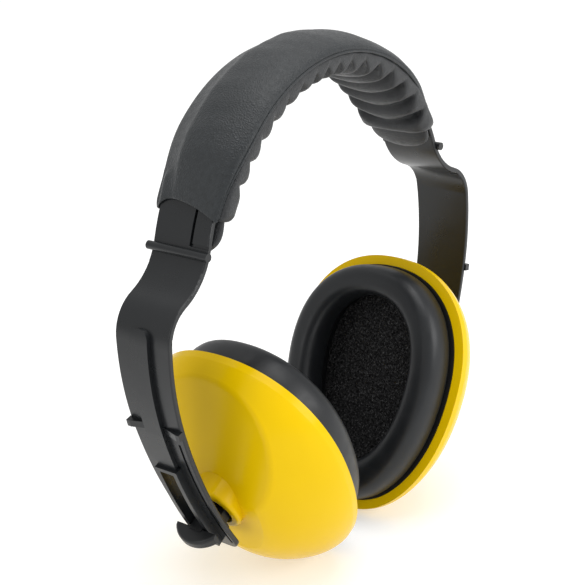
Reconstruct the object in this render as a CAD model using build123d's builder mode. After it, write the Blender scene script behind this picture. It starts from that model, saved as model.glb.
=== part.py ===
"""Earmuff hearing protector: a sprung plastic headband with a padded sleeve and two cups.

Frame: +X and -X point to the two ears, -Y to the front, +Z up.  The origin is the middle of
the surface that the two cups stand on.  All sizes are in millimetres.
Every piece of one ear is built on the +X side and mirrored to the -X side.
"""
from build123d import *
from math import cos, pi, radians, sin
import os

os.makedirs("parts", exist_ok=True)

# ---------------------------------------------------------------- driving dimensions
apex_height = 189.32           # crown of the strip's outer face above the surface
strip_thickness = 2.0
strip_half_width = 11.9
foot_half_width = 9.8
edge_round = 0.5

# The strip's outer face, from the crown to the foot: radius and turn in degrees of each arc.
arc_chain = [(67.0, 40.0),     # crown
             (78.0, 31.5),     # side of the head
             (23.0, -49.0),    # hollow where the strip turns outward
             (15.0, 63.5),     # shoulder
             (104.0, 18.5),    # upper arm
             (182.0, 19.0)]    # lower arm, which the slider follows
CROWN, SIDE, HOLLOW, SHOULDER, UPPER_ARM, LOWER_ARM = range(6)

rib_half_width = 3.9
rib_height = 1.7
rib_start = 81.0               # heading on the shoulder where the rib begins
slot_half_width = 3.1
slot_wall = 1.8
slot_wall_height = 3.0
slot_start = 109.7             # headings of the slot's two ends
slot_end = 121.4
groove_width = 1.0
groove_depth = 0.6
groove_place = 8.6             # from the middle line to the groove near one edge
bead_radius = 1.5
bead_overhang = 1.3
bead_heading = 66.0            # on the hollow's arc
slit_width = 1.1
slit_place = 4.5               # from the middle line
slit_length = 26.0
nub_heading = 102.8            # wedge nubs on both sides of the rib
nub_height = 1.9
nub_length = 2.6

cover_half_width = 16.4
cover_crown = 3.9              # height of the sleeve's crown over the strip
cover_end = 61.0               # heading where the sleeve ends
pad_depth = 9.0                # pad's inner face below the strip's outer face
pad_skin = 1.0
pad_end = 64.0
pad_round = 5.0
tongue_half_width = 12.0
tongue_depth = 6.0
tongue_end = 71.0
tongue_round = 7.0

pivot_heading = 119.45         # slider at rest, at the bottom of the slot
pivot_depth = 8.0              # pivot centre below the strip's outer face
cup_tilt = 23.7                # the cups' tops lean outward
rim_half_width = 39.3
rim_half_height = 50.4
rim_power = 2.18               # superellipse power of the cup's outline
rim_egg = 0.12                 # how much wider the outline is at its top
cup_depth = 28.0
cup_pivot_depth = 29.5         # pivot centre beyond the rim plane
cup_pivot_rise = 3.0           # pivot centre above the middle of the rim
flange_depth = 3.0
shell_wall = 2.4
crown_ratio = 0.45             # size of the cup's crown against its rim
crown_power = 1.45             # roundness of the cup's side
facet_x = 61.0                 # the upright flat on the cup's upper half
facet_round = 4.0
rim_land = 3.6                 # width of the rim's front face
plate_seat = 2.2               # depth of the rebate that takes the cushion's plate

pocket_radius = 7.8
pocket_floor = 6.0             # below the pivot centre
lip_radius = 10.8
lip_rise = 1.8                 # above the pivot centre

pin_radius = 1.4
bore_radius = 1.45
ear_radius = 2.5
ear_gap = 3.4
ear_width = 3.0

cushion_thickness = 14.0
cushion_gap_y = 4.3            # cushion inside the rim, at the sides and at the ends
cushion_gap_z = 3.8
opening_half_width = 21.7
opening_half_height = 32.1
opening_rise = 2.0
cushion_round = 6.0
opening_round = 4.5
cushion_skin_wall = 1.0


# ---------------------------------------------------------------- the strip's outline
def normal_at(heading):
    """Outward direction in the X-Z plane where the face runs at a heading below level."""
    return Vector(sin(radians(heading)), cos(radians(heading)))


def lay_out_arcs():
    """Centre, signed radius, first and last heading of each arc, from the crown down."""
    arcs = []
    point = Vector(0, apex_height)
    heading = 0.0
    for radius, turn in arc_chain:
        signed = radius if turn > 0 else -radius
        centre = point - normal_at(heading) * signed
        arcs.append((centre, signed, heading, heading + turn))
        heading += turn
        point = centre + normal_at(heading) * signed
    return arcs


arcs = lay_out_arcs()


def on_arc(arc, heading, offset=0.0):
    """Point at an offset out of the strip's outer face."""
    centre, signed, _, _ = arcs[arc]
    return centre + normal_at(heading) * (signed + offset)


def span(arc, start=None, end=None):
    """One arc of the chain, whole or from one heading to another."""
    _, _, first, last = arcs[arc]
    return (arc, first if start is None else start, last if end is None else end)


def draw_spans(spans, offset):
    """Arcs along the spans, in the order given."""
    for arc, start, end in spans:
        ThreePointArc(on_arc(arc, start, offset),
                      on_arc(arc, (start + end) / 2, offset),
                      on_arc(arc, end, offset))


def band(spans, low, high, plane=Plane.XZ):
    """Face between two offsets from the strip's outer face."""
    back = [(arc, end, start) for arc, start, end in reversed(spans)]
    first_arc, first, _ = spans[0]
    last_arc, _, last = spans[-1]
    with BuildSketch(plane) as face:
        with BuildLine():
            draw_spans(spans, high)
            Line(on_arc(last_arc, last, high), on_arc(last_arc, last, low))
            draw_spans(back, low)
            Line(on_arc(first_arc, first, low), on_arc(first_arc, first, high))
        make_face()
    return face.sketch


def face_plane(arc, heading, offset=0.0):
    """Plane lying on the strip: local x along +Y, local y up the strip, z outward."""
    point = on_arc(arc, heading, offset)
    normal = normal_at(heading)
    return Plane(origin=(point.X, 0, point.Y), x_dir=(0, 1, 0), z_dir=(normal.X, 0, normal.Y))


# ---------------------------------------------------------------- headband strip
whole_strip = [span(CROWN), span(SIDE), span(HOLLOW), span(SHOULDER), span(UPPER_ARM),
               span(LOWER_ARM)]
foot = on_arc(LOWER_ARM, arcs[LOWER_ARM][3])
taper_top = on_arc(UPPER_ARM, arcs[UPPER_ARM][2]).Y


def rib_end():
    """Round upper end of the rib, flush with its top over the shoulder's curve."""
    with BuildPart() as end:
        reach = rib_half_width / arc_chain[SHOULDER][0] * 180 / pi
        extrude(band([span(SHOULDER, rib_start - reach, rib_start + 1)], -1, rib_height),
                amount=rib_half_width, both=True)
        with BuildSketch(face_plane(SHOULDER, rib_start, -4)):
            Circle(rib_half_width)
        extrude(amount=8, mode=Mode.INTERSECT)
    return end.part


with BuildPart() as headband_strip:
    extrude(band(whole_strip, -strip_thickness, 0), amount=strip_half_width, both=True)
    with BuildSketch(Plane.YZ):
        with BuildLine():
            Polyline((strip_half_width, apex_height + 10),
                     (strip_half_width, taper_top),
                     (foot_half_width, foot.Y - 6),
                     (-foot_half_width, foot.Y - 6),
                     (-strip_half_width, taper_top),
                     (-strip_half_width, apex_height + 10),
                     close=True)
        make_face()
    extrude(amount=150, both=True, mode=Mode.INTERSECT)
    foot_corners = [edge for edge in headband_strip.edges()
                    if abs(edge.length - strip_thickness) < 0.05 and edge.center().Z < 40]
    fillet(foot_corners, 4.0)
    long_edges = [edge for edge in headband_strip.edges() if edge.length > 4]
    fillet([edge for edge in long_edges if abs(edge.center().Y) > 5], edge_round)
    # rib with a round upper end, running into the raised walls of the slot
    rib = [span(SHOULDER, rib_start), span(UPPER_ARM), span(LOWER_ARM, end=slot_start)]
    extrude(band(rib, -1, rib_height), amount=rib_half_width, both=True)
    add(rib_end())
    walls = [span(LOWER_ARM, slot_start - 0.5, slot_end + 0.6)]
    extrude(band(walls, -1, slot_wall_height), amount=slot_half_width + slot_wall, both=True)
    slot = [span(LOWER_ARM, slot_start, slot_end)]
    extrude(band(slot, -4, 6), amount=slot_half_width, both=True, mode=Mode.SUBTRACT)
    # wedge nubs, which rise from the rib to the strip's edges
    nub_half_width = strip_half_width - 0.1
    nub_plane = face_plane(UPPER_ARM, nub_heading)
    for side in (1, -1):
        across = Plane(nub_plane.origin, x_dir=(0, side, 0), z_dir=-side * nub_plane.y_dir)
        with BuildSketch(across):
            with BuildLine():
                Polyline((rib_half_width - 0.2, -0.5), (nub_half_width, -0.5),
                         (nub_half_width, nub_height), (nub_half_width - 1.5, nub_height),
                         (rib_half_width - 0.2, 0.2), close=True)
            make_face()
        extrude(amount=side * nub_length)
    mirror(about=Plane.YZ)
    # bead across the strip below the sleeve, one on each arm
    bead = on_arc(HOLLOW, bead_heading, 0.6)
    for side in (1, -1):
        bead_start = strip_half_width + bead_overhang
        with BuildSketch(Plane((side * bead.X, -bead_start, bead.Y),
                               x_dir=(1, 0, 0), z_dir=(0, 1, 0))):
            Circle(bead_radius)
        extrude(amount=2 * bead_start)
    # slit beside the front edge of one arm and the rear edge of the other, and its shallow foot
    for side in (1, -1):
        slit_y = side * slit_place
        slit_low = bead.Y + bead_radius + 0.6
        with BuildSketch(Plane.YZ):
            with Locations((slit_y, slit_low + slit_length / 2)):
                Rectangle(slit_width, slit_length)
        extrude(amount=side * 90, mode=Mode.SUBTRACT)
        edge_y = side * (strip_half_width + 1)
        foot_plane = face_plane(SIDE, 71.0, -0.5)
        with BuildSketch(Plane((side * foot_plane.origin.X, 0, foot_plane.origin.Z),
                               x_dir=(0, 1, 0),
                               z_dir=(side * foot_plane.z_dir.X, 0, foot_plane.z_dir.Z))):
            with Locations(((slit_y + edge_y) / 2, 0)):
                Rectangle(abs(edge_y - slit_y), slit_width)
        extrude(amount=3, mode=Mode.SUBTRACT)
    # shallow groove beside the front edge of one arm and the rear edge of the other
    groove = [span(LOWER_ARM, 105.5, 122.2)]
    groove_cut = band(groove, -groove_depth, 2, Plane.XZ.offset(-groove_place - groove_width / 2))
    extrude(groove_cut, amount=groove_width, mode=Mode.SUBTRACT)
    extrude(groove_cut.rotate(Axis.Z, 180), amount=groove_width, mode=Mode.SUBTRACT)
headband_strip.part.label = "headband_strip"


# ---------------------------------------------------------------- padded sleeve
def sleeve_path(end):
    """Path along the strip's outer face from the crown to a heading on the side."""
    with BuildLine() as path:
        for arc, first, last in (span(CROWN), span(SIDE, end=end)):
            points = [on_arc(arc, heading) for heading in (first, (first + last) / 2, last)]
            ThreePointArc(*[(point.X, 0, point.Y) for point in points])
    return path.line


def crown_section():
    """Plane across the strip at its crown: local x along +Y, local y up."""
    return Plane((0, 0, apex_height), x_dir=(0, 1, 0), z_dir=(1, 0, 0))


strip_clear = strip_half_width + 0.4
seam_level = -1.0

with BuildPart() as headband_cover:
    with BuildSketch(crown_section()):
        with BuildLine():
            Polyline((-cover_half_width, 0.3), (-cover_half_width, seam_level),
                     (-strip_clear, seam_level), (-strip_clear, 0.1), (strip_clear, 0.1),
                     (strip_clear, seam_level), (cover_half_width, seam_level),
                     (cover_half_width, 0.3))
            ThreePointArc((cover_half_width, 0.3), (0, cover_crown), (-cover_half_width, 0.3))
        make_face()
    sweep(path=sleeve_path(cover_end))
    mirror(about=Plane.YZ)
headband_cover.part.label = "headband_cover"

pad_spans = [span(CROWN), span(SIDE, end=pad_end)]
foam_half_width = 11.0
foam_low = -pad_depth + pad_skin
foam_high = -strip_thickness - 0.3
tongue_spans = [span(SIDE, pad_end - 1.0, tongue_end)]
tongue_low = on_arc(SIDE, tongue_end, -tongue_depth).Y


def pad_tongue():
    """Rounded tongue that runs on under the strip past the sleeve's end."""
    with BuildPart() as tongue:
        extrude(band(tongue_spans, -tongue_depth, -strip_thickness - 0.1),
                amount=tongue_half_width, both=True)
        with BuildSketch(Plane.YZ):
            with Locations((0, tongue_low + 30)):
                RectangleRounded(2 * tongue_half_width, 60, tongue_round)
        extrude(amount=120, mode=Mode.INTERSECT)
    return tongue.part


with BuildPart() as headband_pad:
    extrude(band(pad_spans, -pad_depth, seam_level - 0.05), amount=cover_half_width, both=True)
    inner_radii = [arc_chain[arc][0] - pad_depth for arc in (CROWN, SIDE)]
    inner_edges = [edge for edge in headband_pad.edges().filter_by(GeomType.CIRCLE)
                   if min(abs(edge.radius - radius) for radius in inner_radii) < 0.01]
    fillet(inner_edges, pad_round)
    extrude(band(pad_spans, -strip_thickness - 0.1, 0), amount=strip_clear, both=True,
            mode=Mode.SUBTRACT)
    foam_room = band([span(CROWN), span(SIDE, end=pad_end - 0.8)], foam_low, 0)
    extrude(foam_room, amount=foam_half_width + 0.3, both=True, mode=Mode.SUBTRACT)
    add(pad_tongue())
    mirror(about=Plane.YZ)
headband_pad.part.label = "headband_pad"

with BuildPart() as headband_foam:
    foam_spans = [span(CROWN), span(SIDE, end=pad_end - 1.4)]
    extrude(band(foam_spans, foam_low + 0.3, foam_high), amount=foam_half_width, both=True)
    mirror(about=Plane.YZ)
headband_foam.part.label = "headband_foam"


# ---------------------------------------------------------------- places of one ear's pieces
pivot_plane = face_plane(LOWER_ARM, pivot_heading, -pivot_depth)
cup_out = Vector(cos(radians(cup_tilt)), 0, -sin(radians(cup_tilt)))
cup_up = Vector(sin(radians(cup_tilt)), 0, cos(radians(cup_tilt)))
rim_centre = pivot_plane.origin - cup_out * cup_pivot_depth - cup_up * cup_pivot_rise
rim_plane = Plane(origin=rim_centre, x_dir=(0, 1, 0), z_dir=cup_out)


def oval(depth, half_width, half_height, rise=0.0):
    """Egg-shaped face parallel to the rim, at a depth beyond it."""
    power = 2 / rim_power
    points = []
    for step in range(24):
        turn = 2 * pi * step / 24
        across = abs(cos(turn)) ** power * (1 if cos(turn) > 0 else -1)
        along = abs(sin(turn)) ** power * (1 if sin(turn) > 0 else -1)
        points.append((half_width * across * (1 + rim_egg * along), rise + half_height * along))
    with BuildSketch(rim_plane.offset(depth)) as face:
        with BuildLine():
            Spline(points, periodic=True)
        make_face()
    return face.sketch


def dome_scale(depth):
    """Size of the cup's section at a depth, against its rim."""
    part_way = max(0.0, (depth - flange_depth) / (cup_depth - flange_depth))
    return crown_ratio + (1 - crown_ratio) * (1 - part_way ** crown_power) ** (1 / crown_power)


def dome_sections(first, inset=0.0, last_inset=0.0):
    """Sections of the dome from a first depth to its crown, shrunk by a wall."""
    last = cup_depth - last_inset
    faces = []
    for share in (0, 0.2, 0.45, 0.7, 0.9, 1.0):
        depth = first + (last - first) * share
        scale = dome_scale(depth * cup_depth / last)
        faces.append(oval(depth, rim_half_width * scale - inset, rim_half_height * scale - inset))
    return faces


def beyond_facet(x):
    """Face of the half space outside an upright plane, to be cut away."""
    with BuildSketch(Plane.YZ.offset(x)) as face:
        with Locations((0, 60)):
            Rectangle(120, 160)
    return face.sketch


# ---------------------------------------------------------------- cup
def cup_hollow():
    """Room inside the cup, kept clear of the flat and of the pivot's boss."""
    with BuildPart() as hollow:
        loft(dome_sections(plate_seat, shell_wall + 1.4, shell_wall))
        extrude(beyond_facet(facet_x - shell_wall), amount=40, mode=Mode.SUBTRACT)
        with BuildSketch(pivot_plane.offset(-pocket_floor - 2)):
            Circle(lip_radius)
        extrude(amount=20, mode=Mode.SUBTRACT)
    return hollow.part


with BuildPart() as cup_shell:
    loft(dome_sections(flange_depth))
    extrude(beyond_facet(facet_x), amount=40, mode=Mode.SUBTRACT)
    facet = cup_shell.faces().sort_by(Axis.X)[-1]
    fillet(facet.edges(), facet_round)
    extrude(oval(0, rim_half_width, rim_half_height), amount=flange_depth)
    # round lip and boss that hold the pivot's socket
    with BuildSketch(pivot_plane.offset(-pocket_floor - 2)):
        Circle(lip_radius)
    extrude(amount=pocket_floor + 2 + lip_rise)
    lip_edge = cup_shell.edges().filter_by(GeomType.CIRCLE).sort_by(Axis.X)[-1]
    fillet(lip_edge, 1.4)
    add(cup_hollow(), mode=Mode.SUBTRACT)
    seat = oval(0, rim_half_width - rim_land, rim_half_height - rim_land)
    extrude(seat, amount=plate_seat, mode=Mode.SUBTRACT)
    with BuildSketch(pivot_plane.offset(-pocket_floor)):
        Circle(pocket_radius)
    extrude(amount=20, mode=Mode.SUBTRACT)


with BuildPart() as pivot_socket:
    socket_radius = pocket_radius - 0.1
    base_thickness = 1.5
    with BuildSketch(pivot_plane.offset(-pocket_floor)):
        Circle(socket_radius)
    extrude(amount=base_thickness)
    # two ears, above and below, that hold the upright pin
    for side in (1, -1):
        ear_plane = Plane(pivot_plane.origin + pivot_plane.y_dir * side * ear_gap,
                          x_dir=(0, 1, 0), z_dir=side * pivot_plane.y_dir)
        with BuildSketch(ear_plane):
            Circle(ear_radius)
            with Locations((0, side * (pocket_floor - 0.5) / 2)):
                Rectangle(2 * ear_radius, pocket_floor - 0.5)
        extrude(amount=ear_width)
    bore_plane = Plane(pivot_plane.origin - pivot_plane.y_dir * 12,
                       x_dir=(0, 1, 0), z_dir=pivot_plane.y_dir)
    with BuildSketch(bore_plane):
        Circle(bore_radius)
    extrude(amount=24, mode=Mode.SUBTRACT)

liner_gap = 0.3
sheet_thickness = 1.8
liner_front = plate_seat + sheet_thickness + 0.4
with BuildPart() as acoustic_foam:
    loft(dome_sections(liner_front, shell_wall + 1.4 + liner_gap, shell_wall + liner_gap))
    extrude(beyond_facet(facet_x - shell_wall - liner_gap), amount=40, mode=Mode.SUBTRACT)
    with BuildSketch(pivot_plane.offset(-pocket_floor - 2 - liner_gap)):
        Circle(lip_radius + liner_gap)
    extrude(amount=20, mode=Mode.SUBTRACT)

with BuildPart() as foam_sheet:
    sheet_inset = shell_wall + 1.4 + 1.0
    sheet = oval(plate_seat + 0.2, rim_half_width - sheet_inset, rim_half_height - sheet_inset)
    extrude(sheet, amount=sheet_thickness)

plate_back = plate_seat - 0.1
plate_front = -0.5
with BuildPart() as cushion_plate:
    plate = oval(plate_front, rim_half_width - rim_land - 0.1, rim_half_height - rim_land - 0.1)
    extrude(plate, amount=plate_back - plate_front)
    hole = oval(plate_front, opening_half_width + 1.5, opening_half_height + 1.5, opening_rise)
    extrude(hole, amount=plate_back - plate_front, mode=Mode.SUBTRACT)


def cushion_ring(inset, back):
    """Ring with round front edges, smaller on every side by an inset, open at the back."""
    front = -cushion_thickness + inset
    with BuildPart() as ring:
        outer = oval(front, rim_half_width - cushion_gap_y - inset,
                     rim_half_height - cushion_gap_z - inset)
        extrude(outer, amount=back - front)
        hole = oval(front, opening_half_width + inset, opening_half_height + inset, opening_rise)
        extrude(hole, amount=back - front, mode=Mode.SUBTRACT)
        front_face = ring.faces().filter_by(GeomType.PLANE).sort_by(Axis(rim_centre, cup_out))[0]
        fillet(front_face.edges().sort_by(SortBy.LENGTH)[1], cushion_round - inset)
        front_face = ring.faces().filter_by(GeomType.PLANE).sort_by(Axis(rim_centre, cup_out))[0]
        fillet(front_face.edges().sort_by(SortBy.LENGTH)[0], opening_round - inset)
    return ring.part


with BuildPart() as cushion_skin:
    add(cushion_ring(0, plate_front))
    add(cushion_ring(cushion_skin_wall, plate_front), mode=Mode.SUBTRACT)

foam_inset = 2.8               # the foam core fills the skin without reaching its round edges
with BuildPart() as cushion_foam:
    foam_front = -cushion_thickness + foam_inset
    foam_back = plate_front - 0.1
    core = oval(foam_front, rim_half_width - cushion_gap_y - foam_inset,
                rim_half_height - cushion_gap_z - foam_inset)
    extrude(core, amount=foam_back - foam_front)
    core_hole = oval(foam_front, opening_half_width + foam_inset,
                     opening_half_height + foam_inset, opening_rise)
    extrude(core_hole, amount=foam_back - foam_front, mode=Mode.SUBTRACT)


# ---------------------------------------------------------------- slider and pivot
stem_half_width = slot_half_width - 0.4
stem_half_length = 2.5
block_low = pivot_depth - strip_thickness - 0.3 - 1.6
block_high = pivot_depth - strip_thickness - 0.3
head_low = pivot_depth + slot_wall_height + 0.4
head_half_width = 8.8
head_reach = 6.0
head_thickness = 4.2

with BuildPart() as slider_knob:
    with BuildSketch(pivot_plane.offset(block_low + 0.6)):
        Rectangle(2 * stem_half_width, 2 * stem_half_length)
    extrude(amount=head_low + 1 - block_low - 0.6)
    # half-round thumb plate across the slot
    head_plane = Plane(pivot_plane.origin - pivot_plane.y_dir * head_thickness / 2
                       + pivot_plane.z_dir * head_low,
                       x_dir=(0, 1, 0), z_dir=-pivot_plane.y_dir)
    with BuildSketch(head_plane):
        with BuildLine():
            side_rise = 1.6
            Polyline((-head_half_width, side_rise), (-head_half_width, 0), (head_half_width, 0),
                     (head_half_width, side_rise))
            ThreePointArc((head_half_width, side_rise), (0, head_reach),
                          (-head_half_width, side_rise))
        make_face()
    extrude(amount=-head_thickness)
    fillet([edge for edge in slider_knob.edges().filter_by(GeomType.CIRCLE)
            if edge.length > 10], 1.2)

with BuildPart() as slider_block:
    with BuildSketch(pivot_plane.offset(block_low)):
        RectangleRounded(13.6, 13.0, 2.5)
    extrude(amount=block_high - block_low)
    for side in (1, -1):
        with BuildSketch(Plane((pivot_plane.origin.X, side * ear_gap, pivot_plane.origin.Z),
                               x_dir=pivot_plane.y_dir, z_dir=(0, side, 0))):
            Circle(ear_radius)
            with Locations((0, side * block_low / 2)):
                Rectangle(2 * ear_radius, block_low)
        extrude(amount=ear_width)
    with BuildSketch(Plane((pivot_plane.origin.X, -12, pivot_plane.origin.Z),
                           x_dir=pivot_plane.y_dir, z_dir=(0, 1, 0))):
        Circle(bore_radius)
    extrude(amount=24, mode=Mode.SUBTRACT)
    # hole for the knob's stem
    with BuildSketch(pivot_plane.offset(block_low + 0.5)):
        Rectangle(2 * stem_half_width + 0.1, 2 * stem_half_length + 0.1)
    extrude(amount=4, mode=Mode.SUBTRACT)

with BuildPart() as pivot_cross:
    with BuildSketch(pivot_plane.offset(-2)):
        RectangleRounded(5.4, 5.4, 1.0)
    extrude(amount=4)
    pin_reach = ear_gap + ear_width
    with BuildSketch(Plane((pivot_plane.origin.X, -pin_reach, pivot_plane.origin.Z),
                           x_dir=pivot_plane.y_dir, z_dir=(0, 1, 0))):
        Circle(pin_radius)
    extrude(amount=2 * pin_reach)
    with BuildSketch(Plane(pivot_plane.origin - pivot_plane.y_dir * pin_reach,
                           x_dir=(0, 1, 0), z_dir=pivot_plane.y_dir)):
        Circle(pin_radius)
    extrude(amount=2 * pin_reach)


# ---------------------------------------------------------------- both sides and export
ear_pieces = {"slider_knob": slider_knob, "slider_block": slider_block,
              "pivot_cross": pivot_cross, "pivot_socket": pivot_socket,
              "cup_shell": cup_shell, "acoustic_foam": acoustic_foam, "foam_sheet": foam_sheet,
              "cushion_plate": cushion_plate, "cushion_foam": cushion_foam,
              "cushion_skin": cushion_skin}
for name, piece in ear_pieces.items():
    with BuildPart() as mirrored:
        mirror(piece.part, about=Plane.YZ)
    piece.part.label = "right_" + name
    mirrored.part.label = "left_" + name
    export_step(piece.part, "parts/right_" + name + ".step")
    export_step(mirrored.part, "parts/left_" + name + ".step")
for name, piece in (("headband_strip", headband_strip), ("headband_cover", headband_cover),
                    ("headband_pad", headband_pad), ("headband_foam", headband_foam)):
    export_step(piece.part, "parts/" + name + ".step")
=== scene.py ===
"""Looks of the earmuff hearing protector: sleeve, pleated pad, cushions, foam and plastics."""
import math

import bmesh
import bpy
from mathutils import Matrix, Vector


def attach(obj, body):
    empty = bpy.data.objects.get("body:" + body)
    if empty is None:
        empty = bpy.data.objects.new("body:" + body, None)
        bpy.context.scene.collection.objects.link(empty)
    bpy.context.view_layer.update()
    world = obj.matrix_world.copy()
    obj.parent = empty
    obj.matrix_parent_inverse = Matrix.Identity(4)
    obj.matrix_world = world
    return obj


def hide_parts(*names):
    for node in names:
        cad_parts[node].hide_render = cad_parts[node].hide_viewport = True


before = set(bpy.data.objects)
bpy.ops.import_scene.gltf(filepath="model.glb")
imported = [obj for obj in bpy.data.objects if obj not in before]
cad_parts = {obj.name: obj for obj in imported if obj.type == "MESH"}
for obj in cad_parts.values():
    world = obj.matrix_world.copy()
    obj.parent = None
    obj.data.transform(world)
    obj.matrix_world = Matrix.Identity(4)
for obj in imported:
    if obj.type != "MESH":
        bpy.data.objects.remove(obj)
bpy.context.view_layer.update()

MM = 0.001


# ---------------------------------------------------------------- materials
def new_material(name, roughness, specular, sheen=0.0, coat=0.0):
    """Principled material with its fixed values on the shader's own sockets."""
    material = bpy.data.materials.new(name)
    material.use_nodes = True
    shader = material.node_tree.nodes["Principled BSDF"]
    shader.inputs["Roughness"].default_value = roughness
    shader.inputs["Specular IOR Level"].default_value = specular
    shader.inputs["Sheen Weight"].default_value = sheen
    shader.inputs["Coat Weight"].default_value = coat
    shader.inputs["Coat Roughness"].default_value = 0.12
    return material, material.node_tree, shader


def add_node(tree, kind, **values):
    """Node with some of its properties and sockets set."""
    node = tree.nodes.new(kind)
    for key, value in values.items():
        if key in node.inputs:
            node.inputs[key].default_value = value
        else:
            setattr(node, key, value)
    return node


def noise(tree, scale, detail=4.0, roughness=0.55, stretch=(1, 1, 1)):
    """Noise in object space; the scale is in features per metre."""
    place = add_node(tree, "ShaderNodeTexCoord")
    mapping = add_node(tree, "ShaderNodeMapping", Scale=stretch)
    texture = add_node(tree, "ShaderNodeTexNoise", Scale=scale, Detail=detail, Roughness=roughness)
    tree.links.new(place.outputs["Object"], mapping.inputs["Vector"])
    tree.links.new(mapping.outputs["Vector"], texture.inputs["Vector"])
    return texture.outputs["Fac"]


def cells(tree, scale, feature="DISTANCE_TO_EDGE"):
    """Voronoi cells in object space; the scale is in cells per metre."""
    place = add_node(tree, "ShaderNodeTexCoord")
    texture = add_node(tree, "ShaderNodeTexVoronoi", Scale=scale, feature=feature)
    tree.links.new(place.outputs["Object"], texture.inputs["Vector"])
    return texture.outputs["Distance"]


def ramp(tree, factor, stops):
    """Colour ramp with stops of position and colour."""
    node = add_node(tree, "ShaderNodeValToRGB")
    elements = node.color_ramp.elements
    while len(elements) < len(stops):
        elements.new(0.5)
    for element, (position, colour) in zip(elements, stops):
        element.position = position
        element.color = (*colour, 1.0)
    tree.links.new(factor, node.inputs["Fac"])
    return node.outputs["Color"]


def span_values(tree, factor, low, high):
    """Noise factor, which mostly lies from 0.3 to 0.7, mapped onto a range."""
    node = add_node(tree, "ShaderNodeMapRange")
    node.inputs["From Min"].default_value = 0.3
    node.inputs["From Max"].default_value = 0.7
    node.inputs["To Min"].default_value = low
    node.inputs["To Max"].default_value = high
    tree.links.new(factor, node.inputs["Value"])
    return node.outputs["Result"]


def bump(tree, shader, height, distance, strength, before=None):
    """Bump of a distance in metres, stacked on the one before it."""
    node = add_node(tree, "ShaderNodeBump", Strength=strength, Distance=distance)
    tree.links.new(height, node.inputs["Height"])
    if before is not None:
        tree.links.new(before, node.inputs["Normal"])
    tree.links.new(node.outputs["Normal"], shader.inputs["Normal"])
    return node.outputs["Normal"]


def leatherette(name, dark, light, grain, roughness):
    """Fine-grained leatherette: small pebbled cells, soft mottling and a satin finish."""
    material, tree, shader = new_material(name, roughness, specular=0.4, sheen=0.07)
    tree.links.new(ramp(tree, noise(tree, 700, 5), [(0.3, dark), (0.72, light)]),
                   shader.inputs["Base Color"])
    tree.links.new(span_values(tree, noise(tree, 520, 3), roughness - 0.07, roughness + 0.08),
                   shader.inputs["Roughness"])
    broad = bump(tree, shader, noise(tree, 130, 3), 0.0003, 0.2)
    pebbles = bump(tree, shader, cells(tree, grain), 0.0003, 0.75, broad)
    bump(tree, shader, noise(tree, grain * 1.8, 4, 0.6), 0.00012, 0.6, pebbles)
    return material


def smooth_vinyl():
    """Smooth satin vinyl with very slight ripples."""
    material, tree, shader = new_material("cushion_vinyl", 0.42, specular=0.38, coat=0.04)
    tree.links.new(ramp(tree, noise(tree, 60, 5), [(0.3, (0.007, 0.008, 0.0095)),
                                                   (0.75, (0.011, 0.0125, 0.0145))]),
                   shader.inputs["Base Color"])
    tree.links.new(span_values(tree, noise(tree, 240, 4), 0.36, 0.47),
                   shader.inputs["Roughness"])
    broad = bump(tree, shader, noise(tree, 55, 2), 0.0006, 0.25)
    bump(tree, shader, noise(tree, 2600, 3, 0.6), 0.00004, 0.3, broad)
    return material


def open_foam():
    """Open-cell foam: painted shade for the dark pores, lighter struts and scattered bright
    specks.
    """
    scale = 1250
    material, tree, shader = new_material("liner_foam", 0.95, specular=0.15)
    # The pore tone is painted shade inside the open cells; the strut tone is the foam's own
    # colour.
    pore_shade, strut, speck = (0.0025, 0.0025, 0.0026), (0.042, 0.042, 0.043), (0.24, 0.24, 0.24)
    body = ramp(tree, noise(tree, scale, 6, 0.75), [(0.4, pore_shade), (0.56, strut), (0.72, speck)])
    tree.links.new(body, shader.inputs["Base Color"])
    pores = bump(tree, shader, cells(tree, scale * 1.2, "F1"), 0.0006, 0.9)
    bump(tree, shader, noise(tree, scale * 0.5, 5, 0.7), 0.0008, 0.8, pores)
    return material


def moulded(name, dark, light, rough_low, rough_high, specular):
    """Injection-moulded plastic: faint flow mottling and an uneven polish."""
    material, tree, shader = new_material(name, rough_low, specular)
    flow = noise(tree, 22, 5, 0.5, (1, 1, 0.45))
    tree.links.new(ramp(tree, flow, [(0.3, dark), (0.72, light)]), shader.inputs["Base Color"])
    tree.links.new(span_values(tree, noise(tree, 90, 5), rough_low, rough_high),
                   shader.inputs["Roughness"])
    peel = bump(tree, shader, noise(tree, 130, 2), 0.0002, 0.12)
    bump(tree, shader, noise(tree, 1800, 3, 0.6), 0.00002, 0.25, peel)
    return material


strip_plastic = moulded("strip_plastic", (0.007, 0.008, 0.009), (0.012, 0.0132, 0.0146),
                        0.25, 0.34, 0.4)
fitting_plastic = moulded("fitting_plastic", (0.004, 0.0045, 0.005), (0.009, 0.0095, 0.0102),
                          0.3, 0.42, 0.4)
cup_plastic = moulded("cup_plastic", (0.74, 0.475, 0.0006), (0.79, 0.523, 0.0008),
                      0.2, 0.27, 0.12)
sleeve_leather = leatherette("sleeve_leatherette", (0.0085, 0.0107, 0.0122),
                             (0.0165, 0.0200, 0.0225), 1050, 0.44)
pad_leather = leatherette("pad_leatherette", (0.014, 0.015, 0.0165), (0.025, 0.0268, 0.029),
                          1300, 0.44)
cushion_vinyl = smooth_vinyl()
liner_foam = open_foam()

node_materials = {"headband_strip": strip_plastic}
for name in ("left", "right"):
    node_materials[name + "_cup_shell"] = cup_plastic
    for part in ("cushion_plate", "slider_knob", "slider_block", "pivot_cross", "pivot_socket"):
        node_materials[name + "_" + part] = fitting_plastic
for name, material in node_materials.items():
    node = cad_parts[name]
    node.data.materials.clear()
    node.data.materials.append(material)


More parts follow.
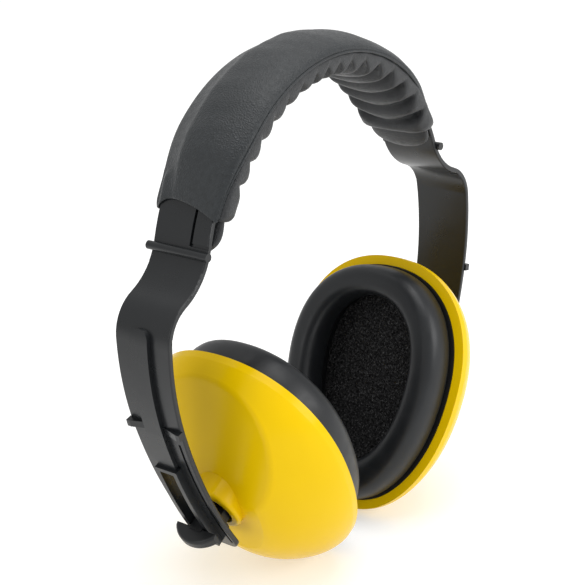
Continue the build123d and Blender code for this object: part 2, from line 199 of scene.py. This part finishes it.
# ---------------------------------------------------------------- mesh helpers
def subdivide(piece, levels):
    """Subdivision surface with the same levels in the view and the render."""
    surface = piece.modifiers.new("smooth", "SUBSURF")
    surface.levels = levels
    surface.render_levels = levels


def make_piece(name, points, faces, material, body, levels=0):
    """Closed mesh with its faces turned outward, which rides on a body."""
    mesh = bpy.data.meshes.new(name)
    mesh.from_pydata(points, [], faces)
    mesh.validate()
    shape = bmesh.new()
    shape.from_mesh(mesh)
    bmesh.ops.recalc_face_normals(shape, faces=shape.faces)
    shape.to_mesh(mesh)
    shape.free()
    mesh.shade_smooth()
    piece = bpy.data.objects.new(name, mesh)
    bpy.context.scene.collection.objects.link(piece)
    mesh.materials.append(material)
    if levels:
        subdivide(piece, levels)
    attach(piece, body)
    return piece


def loop_faces(rows, columns, thin=False, close_rows=False):
    """Quads between rows of closed loops.

    The ends are joined to each other, capped across a thin wall's two faces, or capped flat.
    """
    faces = []
    for row in range(rows if close_rows else rows - 1):
        for column in range(columns):
            right = (column + 1) % columns
            below = (row + 1) % rows
            faces.append((row * columns + column, row * columns + right,
                          below * columns + right, below * columns + column))
    last = (rows - 1) * columns
    if thin:
        for column in range(columns // 2 - 1):
            across = columns - 1 - column
            faces.append((column + 1, column, across, across - 1))
            faces.append((last + column, last + column + 1, last + across - 1, last + across))
    elif not close_rows:
        faces.append(tuple(reversed(range(columns))))
        faces.append(tuple(last + column for column in range(columns)))
    return faces


def ease(low, high, value):
    """Smooth step from 0 to 1."""
    share = min(1.0, max(0.0, (value - low) / (high - low)))
    return share * share * (3 - 2 * share)


def arch(value, start, reach, power=2):
    """Elliptic fall-off: 1 up to the start, and 0 at the reach past it."""
    return 1 - max(0.0, (value - start) / reach) ** power


def root(value, least=0.0):
    """Square root that stays real."""
    return math.sqrt(max(least, value))


def signed_power(value, power):
    """Power of a value's size, with its sign kept."""
    return abs(value) ** power * math.copysign(1, value)


# ---------------------------------------------------------------- the headband's line
# Arcs in millimetres, with their centres in X and Z; the last one bends the other way.
crown_centre, crown_radius, crown_turn = (0.0, 122.32), 67.0, math.radians(40.0)
side_centre, side_radius, side_turn = (-7.071, 113.894), 78.0, math.radians(31.5)
hollow_centre, hollow_radius = (88.71, 145.941), 23.0
crown_length = crown_radius * crown_turn
side_length = side_radius * side_turn


def on_band(along, y, out):
    """Point in metres at a length along the strip from its crown, across it and out of it."""
    length = abs(along)
    if length < crown_length:
        heading = length / crown_radius
        centre, radius = crown_centre, crown_radius
    elif length < crown_length + side_length:
        heading = crown_turn + (length - crown_length) / side_radius
        centre, radius = side_centre, side_radius
    else:
        past = length - crown_length - side_length
        heading = crown_turn + side_turn - past / hollow_radius
        centre, radius = hollow_centre, -hollow_radius
    x = centre[0] + math.sin(heading) * (radius + out)
    z = centre[1] + math.cos(heading) * (radius + out)
    return (math.copysign(x, along) * MM if x > 0 else 0.0, y * MM, z * MM)


# ---------------------------------------------------------------- sleeve
sleeve_edge = 16.4                # half width at the crown
sleeve_arch = 75.5                # length from the crown to the top of the end's arch
corner_reach = 5.0                # how much further the end's corners reach
strip_edge = 12.5                 # half width that the strip holds the sleeve up to
strip_cleared = 13.0              # half width at which the sleeve hangs past the strip


def sleeve_end(y):
    """Length to the sleeve's arched end, longest at its two corners."""
    crest = 7
    rear = ((y - crest) / 9.4) ** 3.4 if y > crest else 0
    front = ((crest - y) / 23.4) ** 2 if y < crest else 0
    return sleeve_arch + corner_reach * (rear + front)


def sleeve_taper(along):
    """Share of its width that the sleeve keeps towards its ends."""
    return 1 - 0.2 * ease(48, 80, abs(along))


def sleeve_cover():
    """Leatherette sleeve that arches over the strip, with a crease along its rear half."""
    hem = -1.0
    outer = [(-16.3, -1.0), (-16.7, -0.3), (-16.2, 0.7), (-14.0, 2.1), (-10.4, 3.4),
             (-5.6, 4.45), (-0.2, 4.85), (4.6, 4.55), (7.2, 4.1), (8.3, 3.2), (11.6, 1.6),
             (14.6, 0.3), (16.3, -0.35), (16.3, -1.0)]
    inner = [(15.5, -1.0), (15.4, -0.8), (14.2, -0.5), (11.0, 0.6), (7.6, 2.1), (6.6, 2.8),
             (4.4, 3.3), (-0.2, 3.55), (-5.4, 3.15), (-10.0, 2.15), (-13.4, 1.0), (-15.2, 0.0),
             (-15.5, -0.4), (-15.4, -1.0)]
    over_strip, on_strip = 1.15, 0.12
    section = [(y, out, over_strip) for y, out in outer]
    section += [(y, out, on_strip) for y, out in inner]
    rows = 121
    points = []
    for row in range(rows):
        share = 2 * row / (rows - 1) - 1
        for y, out, rest in section:
            along = share * sleeve_end(y)
            settle = 1 - 0.6 * ease(58, 79, abs(along))
            across = y * sleeve_taper(along)
            ripple = 0.13 * math.sin(along * 0.33 + 0.9) + 0.08 * math.sin(along * 0.71 + y * 0.2)
            lift = max(0.0, out - hem) / 5.8
            level = hem + (out - hem) * settle + ripple * lift
            level = max(level, rest - 2.4 * ease(strip_edge, strip_cleared, abs(across)))
            points.append(on_band(along, across, level))
    piece = make_piece("sleeve_cover", points, loop_faces(rows, len(section), thin=True),
                       sleeve_leather, "headband", 2)
    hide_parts("headband_cover")


def seam_welt(side):
    """Thin rolled seam where the sleeve's cover meets its pad."""
    rows, columns = 150, 8
    radius, level, short = 0.55, -1.15, 1.3
    points = []
    for row in range(rows):
        share = 2 * row / (rows - 1) - 1
        along = share * (sleeve_end(side * sleeve_edge) - short)
        edge = sleeve_edge * sleeve_taper(along)
        for column in range(columns):
            turn = 2 * math.pi * column / columns
            points.append(on_band(along, side * (edge + radius * math.cos(turn)),
                                  level + radius * math.sin(turn)))
    name = "sleeve_seam_front" if side < 0 else "sleeve_seam_rear"
    make_piece(name, points, loop_faces(rows, columns), sleeve_leather, "headband",
               1)


pad_top = -1.2                    # level of the pad's upper edge
pad_end = 79.8                    # length from the crown to the pad's end


def pad_level(along, y, depth):
    """Depth of the pleated pad: puffed ribs with pinched valleys that deepen to the edges.

    The pleats lean outward at the pad's edges, and fade out at the edges and the ends.
    """
    pitch = 9.45 if along < 0 else 9.7
    lean = 3.2 * (y / 13.0) ** 2 * math.copysign(min(1.0, abs(along) / 14.0), along)
    shifted = along + lean
    phase = shifted / pitch + 0.5
    across = abs(y)
    puff = abs(math.sin(math.pi * phase)) ** (0.6 + 0.2 * ease(4.0, 13.0, across))
    pinch = 2.6 + 4.8 * ease(4.0, 11.5, across)
    pinch *= 1 - 0.72 * ease(13.4, 16.3, across)
    pinch *= ease(1.5, 4.5, -depth)
    fade = 1 - ease(74, 77, abs(shifted))
    thin = 1 - 0.06 * ease(66, 77, abs(along))
    tip = root(arch(abs(along), 76.3, 3.6))
    body = (depth - pad_top) * thin * (0.35 + 0.65 * tip)
    return pad_top + body + pinch * (1 - puff) * fade


def pleated_pad():
    """Soft pad under the strip, gathered into cross pleats."""
    lower = [(-16.2, -1.2), (-16.4, -2.6), (-16.5, -4.2), (-16.2, -6.0), (-15.3, -7.8),
             (-13.6, -9.2), (-11.0, -10.0), (-7.0, -10.3), (-2.4, -10.4), (2.4, -10.4),
             (7.0, -10.3), (11.0, -10.0), (13.6, -9.2), (15.3, -7.8), (16.2, -6.0),
             (16.5, -4.2), (16.4, -2.6), (16.2, -1.2)]
    upper = [(12.6, -1.2), (12.4, -2.25), (0.0, -2.25), (-12.4, -2.25), (-12.6, -1.2)]
    rows = 241
    points = []
    for row in range(rows):
        along = (2 * row / (rows - 1) - 1) * pad_end
        tip = root(arch(abs(along), 75.5, 4.6))
        narrow = 1 - 0.05 * ease(50, 76, abs(along)) - 0.16 * (1 - tip)
        for y, depth in lower:
            points.append(on_band(along, y * narrow, pad_level(along, y, depth)))
        for y, depth in upper:
            points.append(on_band(along, y, depth))
    piece = make_piece("sleeve_pad", points, loop_faces(rows, len(lower) + len(upper)),
                       pad_leather, "headband", 1)
    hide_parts("headband_pad", "headband_foam")


def pad_tongue(side):
    """Rounded padded tongue that runs on under the strip past the sleeve's end."""
    rows, columns = 25, 24
    start, under_strip = 73.0, -2.35
    length = 19.5 if side < 0 else 16.5
    points = []
    for row in range(rows):
        share = row / (rows - 1)
        along = start + length * share
        half = 13.2 * root(arch(share, 0.45, 0.56, 2.6), 0.004)
        lobe = root(1 - ((share - 0.62) / 0.42) ** 2)
        thick = 1.7 + 3.2 * lobe
        for column in range(columns):
            turn = 2 * math.pi * column / columns
            level = under_strip - thick * 0.5 * (1 - signed_power(math.sin(turn), 0.7))
            points.append(on_band(side * along, half * math.cos(turn), level))
    name = "tongue_left" if side < 0 else "tongue_right"
    piece = make_piece(name, points, loop_faces(rows, columns), pad_leather, "headband",
                       1)


sleeve_cover()
pleated_pad()
for side in (-1, 1):
    seam_welt(side)
    pad_tongue(side)


# ---------------------------------------------------------------- cushions and foam
# The rim's plane leans in at the bottom; its centre is in millimetres on the right side.
cup_tilt = math.radians(23.7)
rim_centre = Vector((33.168, 0.0, 47.716))
cup_out = Vector((math.cos(cup_tilt), 0.0, -math.sin(cup_tilt)))
cup_up = Vector((math.sin(cup_tilt), 0.0, math.cos(cup_tilt)))


def on_cup(side, across, along, depth):
    """Point in metres from its place on the rim's plane and its depth into the cup."""
    point = rim_centre + cup_up * along + cup_out * depth
    return (side * point.x * MM, across * MM, point.z * MM)


def oval(turn, half_width, half_height, rise=0.0):
    """Point of the egg-shaped outline of the cup at a turn round it."""
    power = 2 / 2.18
    across = signed_power(math.cos(turn), power)
    along = signed_power(math.sin(turn), power)
    return half_width * across * (1 + 0.12 * along), rise + half_height * along


cushion_shrink = 0.3              # how far the cage is held in before it swells
held_depth = 0.0015               # metres of the cushion's back that are pinned
swell_cap = 0.0013                # metres that a point may travel
swell_steps = 20


def cushion_cage(side, shrink):
    """Points and faces of the ring cushion, held in from its full size."""
    seat = -0.6
    section = [(0.03, seat), (0.0, -3.2), (0.0, -6.6), (0.04, -9.6), (0.13, -12.0),
               (0.28, -13.5), (0.48, -14.0), (0.68, -13.9), (0.85, -13.0), (0.96, -10.9),
               (1.0, -7.6), (1.0, -4.0), (0.98, seat), (0.66, seat), (0.34, seat)]
    rows = 96
    points = []
    for row in range(rows):
        turn = 2 * math.pi * row / rows
        outer = oval(turn, 35.0 - shrink, 46.6 - shrink)
        inner = oval(turn, 21.7 + shrink, 32.1 + shrink, 2.0)
        for share, depth in section:
            across = outer[0] + (inner[0] - outer[0]) * share
            along = outer[1] + (inner[1] - outer[1]) * share
            points.append(on_cup(side, across, along, min(seat, depth + shrink)))
    return points, loop_faces(rows, len(section), close_rows=True)


def evaluated_mesh(piece):
    """Copy of a piece's mesh with its modifiers applied."""
    graph = bpy.context.evaluated_depsgraph_get()
    return bpy.data.meshes.new_from_object(piece.evaluated_get(graph))


def swell(piece, side, cap):
    """Blows a cushion up by cloth pressure, with its back held and each point's travel capped."""
    group = piece.vertex_groups.new(name="pin")
    out = Vector((side * cup_out.x, 0, cup_out.z))
    seat = Vector(on_cup(side, 0, 0, 0))
    start = [vertex.co.copy() for vertex in piece.data.vertices]
    held = [index for index, point in enumerate(start) if (point - seat).dot(out) > -held_depth]
    group.add(held, 1.0, "REPLACE")
    cloth = piece.modifiers.new("cloth", "CLOTH")
    cloth.settings.use_pressure = True
    cloth.settings.uniform_pressure_force = 4
    cloth.settings.effector_weights.gravity = 0
    cloth.settings.vertex_group_mass = "pin"
    for step in range(1, swell_steps + 1):
        bpy.context.scene.frame_set(step)
    swollen = [vertex.co.copy() for vertex in evaluated_mesh(piece).vertices]
    bpy.context.scene.frame_set(1)
    piece.modifiers.clear()
    for vertex, begin, end in zip(piece.data.vertices, start, swollen):
        travel = end - begin
        if travel.length > cap:
            travel *= cap / travel.length
        vertex.co = begin + travel
    piece.data.update()


def cushion(side, side_name):
    """Ring cushion of smooth vinyl round the ear opening."""
    points, faces = cushion_cage(side, cushion_shrink)
    piece = make_piece(side_name + "_cushion", points, faces, cushion_vinyl,
                       side_name + "_cup")
    swell(piece, side, swell_cap)
    subdivide(piece, 2)
    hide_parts(side_name + "_cushion_skin", side_name + "_cushion_foam")


def foam_disc(side, side_name):
    """Dished, speckled foam that lines the cup, seen through the ear opening."""
    rings, rows = 26, 112
    half_width, half_height = 34.3, 45.4
    rim_depth, dish, back_depth = 2.4, 4.6, 9.5
    points = [on_cup(side, 0, 0, 7.0)]
    for ring in range(1, rings + 1):
        share = ring / rings
        for row in range(rows):
            turn = 2 * math.pi * row / rows
            across, along = oval(turn, half_width * share, half_height * share)
            rough = math.sin(across * 2.9 + 1.3) * math.sin(along * 3.3 + 0.4) * 0.1
            depth = rim_depth + dish * (1 - share ** 5) + rough * (1 - share ** 6)
            points.append(on_cup(side, across, along, depth))
    for row in range(rows):
        turn = 2 * math.pi * row / rows
        across, along = oval(turn, half_width, half_height)
        points.append(on_cup(side, across * 0.93, along * 0.93, back_depth))
    points.append(on_cup(side, 0, 0, back_depth))
    faces = []
    for row in range(rows):
        following = (row + 1) % rows
        faces.append((0, 1 + following, 1 + row))
        for ring in range(rings):
            near = 1 + ring * rows
            far = near + rows
            faces.append((near + row, near + following, far + following, far + row))
        last = 1 + rings * rows
        faces.append((last + row, last + following, len(points) - 1))
    piece = make_piece(side_name + "_liner", points, faces, liner_foam,
                       side_name + "_cup")
    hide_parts(side_name + "_foam_sheet", side_name + "_acoustic_foam")


for side, side_name in ((-1, "left"), (1, "right")):
    cushion(side, side_name)
    foam_disc(side, side_name)


# ---------------------------------------------------------------- floor, light and camera
floor_half, floor_level = 9, -0.0002
floor_mesh = bpy.data.meshes.new("floor")
floor_mesh.from_pydata([(-floor_half, -floor_half, floor_level),
                        (floor_half, -floor_half, floor_level),
                        (floor_half, floor_half, floor_level),
                        (-floor_half, floor_half, floor_level)], [], [(0, 1, 2, 3)])
floor = bpy.data.objects.new("floor", floor_mesh)
bpy.context.scene.collection.objects.link(floor)
floor_material, floor_tree, floor_shader = new_material("floor", 0.9, specular=0.1)
floor_tree.links.new(ramp(floor_tree, noise(floor_tree, 3, 2),
                          [(0.3, (0.66, 0.66, 0.655)), (0.7, (0.68, 0.68, 0.675))]),
                     floor_shader.inputs["Base Color"])
floor_shader.inputs["Emission Color"].default_value = (1, 1, 1, 1)
floor_shader.inputs["Emission Strength"].default_value = 0.42
floor_mesh.materials.append(floor_material)

world = bpy.data.worlds.new("studio")
world.use_nodes = True
background = world.node_tree.nodes["Background"]
background.inputs["Color"].default_value = (1, 1, 1, 1)
background.inputs["Strength"].default_value = 0.7
bpy.context.scene.world = world
bpy.context.scene.view_settings.view_transform = "Standard"


def soft_light(name, place, size, power):
    """Area light in watts, aimed at the middle of the object."""
    light = bpy.data.lights.new(name, "AREA")
    light.shape = "RECTANGLE"
    light.size, light.size_y = size
    light.energy = power
    lamp = bpy.data.objects.new(name, light)
    bpy.context.scene.collection.objects.link(lamp)
    lamp.location = place
    aim = Vector((0, 0, 0.09)) - Vector(place)
    lamp.rotation_euler = aim.to_track_quat("-Z", "Y").to_euler()


soft_light("top_light", (0.1, -0.1, 1.3), (1.0, 1.0), 9)
soft_light("front_light", (0.35, -1.3, 0.7), (0.9, 0.7), 9)
soft_light("left_light", (-1.3, 0.25, 0.75), (0.35, 0.8), 2)

camera_data = bpy.data.cameras.new("camera")
camera_data.sensor_width = 36
camera_data.lens = 95.4
camera = bpy.data.objects.new("camera", camera_data)
bpy.context.scene.collection.objects.link(camera)
camera_place = Vector((-0.41119, -0.33125, 0.31190))
camera_right = Vector((0.6170, -0.7845, -0.0620))
camera_up = Vector((0.3308, 0.1871, 0.9250))
camera_back = camera_right.cross(camera_up).normalized()
camera_axes = (camera_right, camera_up, camera_back, camera_place)
camera.matrix_world = Matrix([[axis[row] for axis in camera_axes] for row in range(3)]
                             + [[0, 0, 0, 1]])
bpy.context.scene.camera = camera
